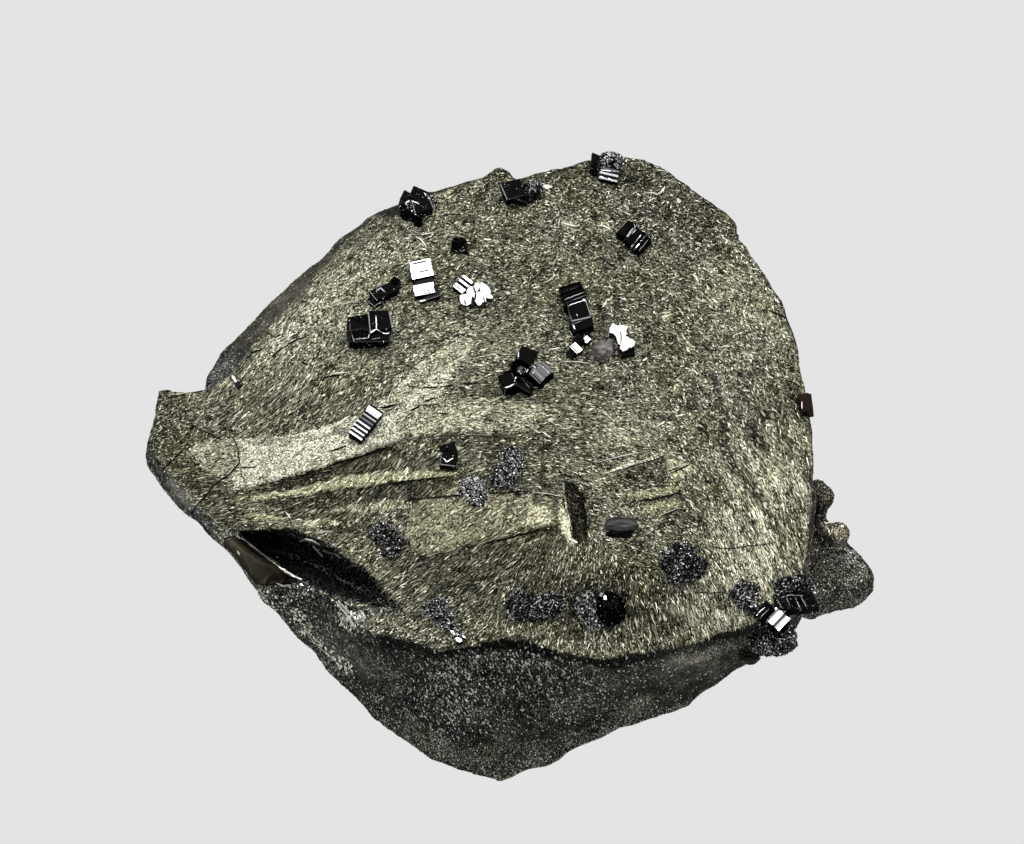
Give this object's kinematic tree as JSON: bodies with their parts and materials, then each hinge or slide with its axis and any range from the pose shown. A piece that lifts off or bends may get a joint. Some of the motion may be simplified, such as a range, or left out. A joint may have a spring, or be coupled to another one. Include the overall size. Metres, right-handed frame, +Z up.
{
  "type": "mineral specimen",
  "caption": "Metallic freibergite crystal plate with small bournonite crystals on its etched top face, resting on a flat base.",
  "frame": {"origin": "middle of the flat base, under the middle of the specimen's bounding box", "axes": "+Z up through the etched top face, +X towards the low flange at the right, +Y towards the back"},
  "size_m": [0.0658, 0.0556, 0.0219],
  "materials": {
    "freibergite": "metallic olive grey, etched with fine hatching on top and satin granular on the sides",
    "black_bournonite": "black with a high metallic gloss and ribbed faces",
    "bright_bournonite": "mirror-bright metallic faces between dark grooves",
    "dusty_bournonite": "dark grey, rough with a sparkling druse",
    "quartz": "translucent pinkish grey"
  },
  "bodies": {
    "root": {"freibergite_crystal": "freibergite", "bournonite_back_edge_cluster": "dusty_bournonite", "bournonite_edge_twin": "black_bournonite", "bournonite_back_cogwheel": "dusty_bournonite", "bournonite_ribbed_drum": "black_bournonite", "bournonite_black_grain": "black_bournonite", "bournonite_bright_plates": "bright_bournonite", "bournonite_dark_splinter": "black_bournonite", "bournonite_black_block": "black_bournonite", "bournonite_white_cluster": "bright_bournonite", "bournonite_large_cogwheel": "black_bournonite", "bournonite_small_bright_pair": "bright_bournonite", "quartz_grain": "quartz", "bournonite_mirror_knot": "bright_bournonite", "bournonite_black_triplet": "black_bournonite", "bournonite_ribbed_plate": "bright_bournonite", "bournonite_small_black_pair": "black_bournonite", "bournonite_dusty_upper": "dusty_bournonite", "bournonite_dusty_lower": "dusty_bournonite", "bournonite_dusty_left": "dusty_bournonite", "bournonite_smooth_knob": "dusty_bournonite", "bournonite_dusty_right": "dusty_bournonite", "bournonite_dusty_front": "dusty_bournonite", "bournonite_dusty_long": "dusty_bournonite", "bournonite_black_dome": "black_bournonite", "bournonite_corner_cluster": "black_bournonite", "bournonite_edge_grain": "dusty_bournonite", "bournonite_bevel_grain": "bright_bournonite"}
  },
  "joints": []
}
